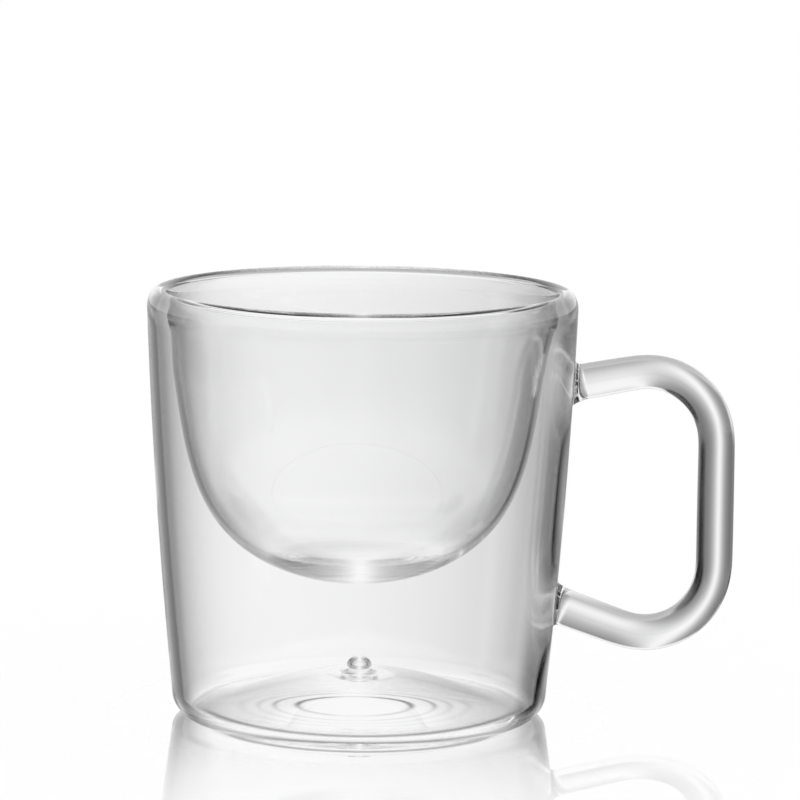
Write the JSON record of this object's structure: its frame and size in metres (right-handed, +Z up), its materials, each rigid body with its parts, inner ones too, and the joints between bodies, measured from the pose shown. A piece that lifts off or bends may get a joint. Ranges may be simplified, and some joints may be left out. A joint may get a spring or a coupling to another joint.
{
  "type": "double walled glass cup",
  "caption": "Clear cup with an inner bowl hung inside a tapered outer wall, sealed air between them, a fused rim and a rod handle.",
  "frame": {"origin": "on the cup's axis, at the plane of the ring that it stands on", "axes": "+Z up along the cup's axis, +X towards the handle"},
  "size_m": [0.1243, 0.0906, 0.0908],
  "materials": {
    "clear_glass": "clear polished borosilicate glass",
    "rod_glass": "clear solid glass rod",
    "weld_glass": "clear glass worked in a flame"
  },
  "bodies": {
    "root": {"inner_bowl": "clear_glass", "outer_wall": "clear_glass", "rim_bead": "clear_glass", "base": "clear_glass", "vent_seal": "weld_glass", "handle_rod": "rod_glass", "upper_weld_collar": "weld_glass", "lower_weld_collar": "weld_glass"}
  },
  "joints": []
}
